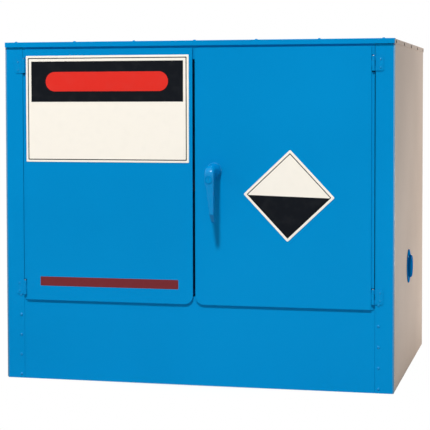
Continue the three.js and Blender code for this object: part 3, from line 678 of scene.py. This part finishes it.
def makePanScrews():
    for side, sign in (("left", -1), ("right", 1)):
        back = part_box(f"door_inner_pan_{side}")[1].y
        levels = evenly(panScrews["low"], panScrews["high"], panScrews["perColumn"])
        row = evenly(panScrews["rowStart"], panScrews["hinge"], panScrews["perRow"])[:-1]
        places = grid((panScrews["meeting"], panScrews["hinge"]), levels)
        places += grid(row, (panScrews["low"], panScrews["high"]))
        spots = [((sign * x, back, z), (0, 1, 0)) for x, z in places]
        makeHeads(f"panScrews_{side}", spots, "screw", f"{side}_door", "blue_paint")


# rivets of the inner skin, seen with the doors open
linerRivets = {
    "side": 395.0 * mm, "low": 232.0 * mm, "high": 726.0 * mm, "front": 24.0 * mm, "perColumn": 6,
    "perRow": 6,
}


def makeLinerRivets():
    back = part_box("liner_back")[0].y
    levels = evenly(linerRivets["low"], linerRivets["high"], linerRivets["perColumn"])
    side, front = linerRivets["side"], linerRivets["front"]
    spots = [((x, back, z), (0, -1, 0)) for x, z in grid((-side, side), levels)]
    low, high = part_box("liner_ceiling")
    places = grid(evenly(-side, side, linerRivets["perRow"]), (low.y + front, high.y - front))
    spots += [((x, y, high.z - sheetThick), (0, 0, -1)) for x, y in places]
    for name, inward in (("liner_left", 1), ("liner_right", -1)):
        low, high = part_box(name)
        face = low.x + sheetThick if inward > 0 else high.x - sheetThick
        spots += [((face, low.y + front, z), (inward, 0, 0)) for z in levels]
    makeHeads("linerRivets", spots, "skin", "carcass", "blue_paint")


# a strip of soft rubber on each stop flange, with a rounded back that the closed doors lie against; its
# section is given in shares of the half width and the height
seal = {
    "width": 9.0 * mm, "inset": 4.5 * mm, "gap": 0.5 * mm, "end": 3.0 * mm,
    "sectionShares": [
        (-1.0, 0.0), (-1.0, 0.45), (-0.82, 0.8), (-0.45, 1.0),
        (0.45, 1.0), (0.82, 0.8), (1.0, 0.45), (1.0, 0.0),
    ],
}


def makeSeal(name, start, end, across):
    half = seal["width"] / 2
    height = start[1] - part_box("door_inner_pan_right")[1].y - seal["gap"]
    section = [Vector(across) * (wide * half) + Vector((0, -deep * height, 0))
        for wide, deep in seal["sectionShares"]]
    mesh = bmesh.new()
    loft(mesh, [[Vector(point) + offset for offset in section] for point in (start, end)])
    addPiece(name, mesh, sealRubber, "carcass", smoothTo["head"])


def makeSeals():
    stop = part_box("stile_right")
    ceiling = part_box("liner_ceiling")[0]
    half = seal["width"] / 2
    middle = stop[0].x + seal["inset"] + half
    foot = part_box("lower_front_panel")[1].z + seal["end"]
    top = ceiling.z + seal["inset"] + seal["width"]
    back = stop[1].y - sheetThick
    for side, sign in (("left", -1), ("right", 1)):
        makeSeal(f"doorSeal_{side}", (sign * middle, back, foot), (sign * middle, back, top), (1, 0, 0))
    level = ceiling.z + seal["inset"] + half
    reach = middle - half - seal["gap"]
    makeSeal("doorSeal_top", (-reach, ceiling.y, level), (reach, ceiling.y, level), (0, 0, 1))


# weld beads in the corners of the sump, each ripple a wide ring and a narrow one
bead = {
    "radius": 2.2 * mm, "ripple": 0.35 * mm, "pitch": 3.4 * mm, "inset": 1.6 * mm, "top": 5.0 * mm,
    "steps": 8,
}


def makeBeads():
    low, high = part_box("sump_tray")
    inset = bead["inset"]
    left, right, front, back = low.x + inset, high.x - inset, low.y + inset, high.y - inset
    bottom, rim = low.z + inset, high.z - bead["top"]
    runs = [((x, y, bottom), (0, 0, 1), rim - bottom) for x, y in grid((left, right), (front, back))]
    runs += [((left, y, bottom), (1, 0, 0), right - left) for y in (front, back)]
    runs += [((x, front, bottom), (0, 1, 0), back - front) for x in (left, right)]
    mesh = bmesh.new()
    for start, direction, length in runs:
        count = int(length / bead["pitch"] * 2)
        rows = [(bead["radius"] + bead["ripple"] * (1 if i % 2 else -1), length * i / count)
            for i in range(count + 1)]
        spin(mesh, rows, start, direction, bead["steps"])
    addPiece("sumpBeads", mesh, finishes["blue_paint"], "carcass", smoothTo["round"])


# a rounded seam down each front corner, where the front sheet is folded over the side, in a paler smooth
# enamel whose pale tone is a painted highlight along the rounded edge
cornerSeam = {
    "radius": 1.9 * mm, "aside": 0.2 * mm, "behind": 1.3 * mm, "foot": 1.5 * mm, "below": 12.6 * mm,
    "endShare": 0.6, "steps": 24,
}


def makeCornerHighlightSeams():
    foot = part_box("lower_front_panel")[0].z + cornerSeam["foot"]
    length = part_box("header_rail")[1].z - cornerSeam["below"] - foot
    radius = cornerSeam["radius"]
    end = cornerSeam["endShare"] * radius
    rows = [(end, 0), (radius, end), (radius, length - end), (end, length)]
    mesh = bmesh.new()
    for side, sign in (("right", 1), ("left", -1)):
        low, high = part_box(f"side_panel_{side}")
        edge = (high.x if sign > 0 else low.x) + sign * cornerSeam["aside"]
        spin(mesh, rows, (edge, framePlane + cornerSeam["behind"], foot), (0, 0, 1), cornerSeam["steps"])
    addPiece("cornerHighlightSeams", mesh, seamHighlightEnamel, "carcass", smoothTo["round"])


makeFrameRivets()
makeCornerHighlightSeams()
makeFixings()
makePanScrews()
makeLinerRivets()
makeSeals()
makeBeads()
print("rivets, screws, seals, seams and beads made")

# the lever, swept from its tip up round the bend to the rose. Each row has, in mm from the spindle's line
# and the frame's front: front height, front reach, back height, back reach, left, right, squareness
lever = {
    "spindle": (48.5 * mm, 504.0 * mm), "steps": 24, "subdivisions": 2,
    "stations": [
        (-119.7, 39.2, -119.0, 37.4, 4.6, 9.0, 4.0), (-118.8, 41.8, -117.0, 37.0, 2.8, 10.3, 4.6),
        (-116.2, 44.8, -113.4, 38.2, 1.9, 10.8, 4.8), (-110.6, 49.8, -107.8, 40.4, 1.4, 10.9, 4.8),
        (-104.6, 54.8, -102.6, 43.0, 1.0, 11.0, 4.8), (-100.2, 58.4, -98.8, 44.8, 0.7, 11.0, 4.8),
        (-98.8, 59.5, -97.6, 45.4, 0.6, 11.0, 4.8), (-97.2, 60.0, -96.0, 45.9, 0.4, 11.0, 4.8),
        (-92.0, 60.0, -90.0, 46.8, 0.0, 11.0, 4.8), (-78.0, 60.0, -78.0, 47.7, -1.8, 11.0, 4.8),
        (-60.0, 60.0, -60.0, 48.0, -4.5, 11.0, 4.8), (-43.0, 60.0, -43.0, 47.6, -6.3, 11.0, 4.8),
        (-37.5, 60.0, -37.5, 47.2, -7.6, 11.0, 4.6), (-33.0, 60.0, -33.0, 46.6, -9.6, 11.1, 4.6),
        (-29.0, 60.0, -29.0, 46.0, -11.2, 11.2, 4.6), (-23.0, 60.0, -25.0, 45.2, -11.8, 11.3, 4.6),
        (-16.0, 60.0, -22.0, 44.4, -11.8, 11.3, 4.6), (-9.0, 60.0, -19.6, 43.4, -11.8, 11.3, 4.4),
        (-5.4, 59.8, -18.4, 42.8, -11.8, 11.4, 4.2), (-0.6, 58.6, -17.2, 42.0, -11.8, 11.5, 3.6),
        (4.8, 55.4, -15.6, 40.6, -12.0, 11.8, 3.0), (9.2, 50.6, -14.2, 38.6, -12.2, 12.0, 2.5),
        (12.6, 44.6, -13.0, 36.0, -12.3, 12.4, 2.2), (13.8, 38.0, -12.4, 32.8, -12.4, 12.8, 2.0),
        (14.0, 30.0, -12.8, 28.0, -12.8, 13.2, 2.0), (14.6, 22.0, -14.0, 21.4, -13.8, 14.2, 2.0),
        (15.6, 15.4, -15.4, 15.2, -15.2, 15.6, 2.0), (16.8, 10.8, -16.6, 10.8, -16.6, 16.8, 2.0),
        (17.2, 8.4, -17.2, 8.4, -17.2, 17.2, 2.0),
    ],
}
# the ring round the key lock: radius and reach, in mm, from its inner edge over the front to the outer edge
lockBezel = {
    "rows": [(7.35, 59.4), (7.35, 60.9), (7.7, 61.3), (8.3, 61.2), (8.6, 60.6), (8.6, 58.6)], "steps": 32,
}


def makeLever():
    x0, z0 = lever["spindle"]
    rings = []
    for frontZ, frontReach, backZ, backReach, left, right, squareness in lever["stations"]:
        front = Vector((0, framePlane - frontReach * mm, z0 + frontZ * mm))
        back = Vector((0, framePlane - backReach * mm, z0 + backZ * mm))
        middle = (front + back) / 2 + Vector((x0 + (left + right) / 2 * mm, 0, 0))
        ahead = (front - back) / 2
        aside = Vector(((right - left) / 2 * mm, 0, 0))
        power = 2 / squareness
        ring = []
        for i in range(lever["steps"]):
            angle = 2 * math.pi * i / lever["steps"]
            wide = math.copysign(abs(math.cos(angle)) ** power, math.cos(angle))
            deep = math.copysign(abs(math.sin(angle)) ** power, math.sin(angle))
            ring.append(middle + aside * wide + ahead * deep)
        rings.append(ring)
    mesh = bmesh.new()
    loft(mesh, rings)
    piece = addPiece("leverHandle", mesh, leverPaint, "handle", smoothTo["round"])
    smooth = piece.modifiers.new("smooth", "SUBSURF")
    smooth.levels = smooth.render_levels = lever["subdivisions"]
    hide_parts("lever_handle")


def makeLockBezel():
    low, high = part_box("lock_barrel")
    lock = (low + high) / 2
    rows = [(radius * mm, reach * mm) for radius, reach in lockBezel["rows"]]
    mesh = bmesh.new()
    spin(mesh, rows, (lock.x, framePlane, lock.z), (0, -1, 0), lockBezel["steps"], closed=False)
    addPiece("lockBezel", mesh, finishes["blue_paint"], "handle", smoothTo["head"])


makeLever()
makeLockBezel()
print("lever made")

# the studio: an even surround, a high key lamp in front, a weak fill lamp on the left and two low lamps on
# the right
studio = {
    "surround": 0.32, "surroundTone": (0.72, 0.86, 1.0, 1), "white": (1, 1, 1, 1),
    # lamps: power, size, distance, turn from straight ahead, height, colour
    "lamps": {
        "keyLamp": (735.0, 0.7, 9.0, -2, 54, (1, 1, 1)),
        "fillLamp": (14.0, 1.2, 4.0, -58, 24, (1, 1, 1)),
        "sideLamp": (16.0, 1.2, 4.0, 88, -2, (1, 0.97, 0.94)),
        "rearLamp": (16.0, 0.7, 1.7, 126, -6, (1, 0.95, 0.89)),
    },
}
# the camera that was fitted to the photograph: place in metres, turns in degrees, and the focal length, the
# lens's middle and the picture's width in pixels
camera = {
    "place": (0.8306, -3.6987, 0.6732), "turn": 13.714, "dip": 2.61, "roll": 0.152,
    "focalPixels": 1484.7, "middle": (200.0, 165.0), "picture": 430, "sensor": 36.0, "sight": 200.0,
}


def makeCamera():
    data = bpy.data.cameras.new("camera")
    data.sensor_width = camera["sensor"]
    data.lens = camera["focalPixels"] / camera["picture"] * data.sensor_width
    half = camera["picture"] / 2
    data.shift_x = (half - camera["middle"][0]) / camera["picture"]
    data.shift_y = (camera["middle"][1] - half) / camera["picture"]
    data.clip_end = camera["sight"]
    made = bpy.data.objects.new("camera", data)
    made.location = camera["place"]
    turns = (90 - camera["dip"], camera["roll"], camera["turn"])
    made.rotation_euler = [math.radians(turn) for turn in turns]
    bpy.context.scene.collection.objects.link(made)
    bpy.context.scene.camera = made


def makeLamp(name, power, size, distance, turn, height, colour):
    data = bpy.data.lights.new(name, "AREA")
    data.energy = power
    data.color = colour
    data.size = size
    made = bpy.data.objects.new(name, data)
    flat = math.cos(math.radians(height)) * distance
    aim = Vector((0, 0, (cadBox[0].z + cadBox[1].z) / 2))
    offset = Vector((math.sin(math.radians(turn)) * flat, -math.cos(math.radians(turn)) * flat,
        math.sin(math.radians(height)) * distance))
    made.location = aim + offset
    made.rotation_euler = (-offset).to_track_quat("-Z", "Y").to_euler()
    bpy.context.scene.collection.objects.link(made)


# a pale floor that the camera sees pass into the white of the background, from one distance to another in
# metres from the cabinet's middle; the object is lit by it as if it were grey
floor = {
    "size": 60.0, "level": -1.5 * mm, "tone": chart(250, 250, 250), "grey": chart(188, 188, 188),
    "mottleTone": chart(244, 244, 243), "mottle": (3.0, 2.0), "mottleShare": 0.1, "roughness": 0.9,
    "whiteEnds": (0.05, 0.5),
}


def makeFloor():
    half = floor["size"] / 2
    mesh = bpy.data.meshes.new("floor")
    corners = [(x, y, floor["level"]) for x, y in boxCorners(-half, half, -half, half)]
    mesh.from_pydata(corners, [], [(0, 1, 2, 3)])
    made = bpy.data.objects.new("floor", mesh)
    bpy.context.scene.collection.objects.link(made)
    finish = newFinish("paleFloor")
    seen = finish.node("LightPath", output="Is Camera Ray")
    mottle = finish.noise(*floor["mottle"]) * floor["mottleShare"]
    tone = finish.blend(seen, floor["grey"], finish.blend(mottle, floor["tone"], floor["mottleTone"]))
    paint = finish.node("BsdfPrincipled", inputs={
        "Base Color": tone, "Roughness": floor["roughness"], "Specular IOR Level": 0.0})
    distance = finish.node("VectorMath", {"operation": "LENGTH"}, {0: finish.place()}, output="Value")
    white = finish.node("Emission", inputs={"Color": studio["white"], "Strength": 1.0})
    share = finish.ramp(distance, *floor["whiteEnds"]) * seen
    both = finish.node("MixShader", inputs={0: share, 1: paint, 2: white})
    finish.node("OutputMaterial", inputs={"Surface": both})
    wear(made, finish.owner)


# an even, slightly blue light, which the camera and the reflections see as white
def makeSurround():
    world = bpy.data.worlds.new("surround")
    sky = Finish(world)
    rays = [sky.node("LightPath", output=f"Is {kind} Ray") for kind in ("Camera", "Glossy", "Transmission")]
    mirrored = sky.node("Math", {"operation": "MAXIMUM"}, {0: rays[1], 1: rays[2]})
    seen = sky.node("Math", {"operation": "MAXIMUM"}, {0: rays[0], 1: mirrored})
    even = sky.node("Background", inputs={"Strength": studio["surround"], "Color": studio["surroundTone"]})
    white = sky.node("Background", inputs={"Color": studio["white"]})
    mixed = sky.node("MixShader", inputs={0: seen, 1: even, 2: white})
    sky.node("OutputWorld", inputs={"Surface": mixed})
    bpy.context.scene.world = world


makeCamera()
makeFloor()
makeSurround()
for name, settings in studio["lamps"].items():
    makeLamp(name, *settings)
bpy.context.scene.view_settings.view_transform = "Standard"
print("studio ready")
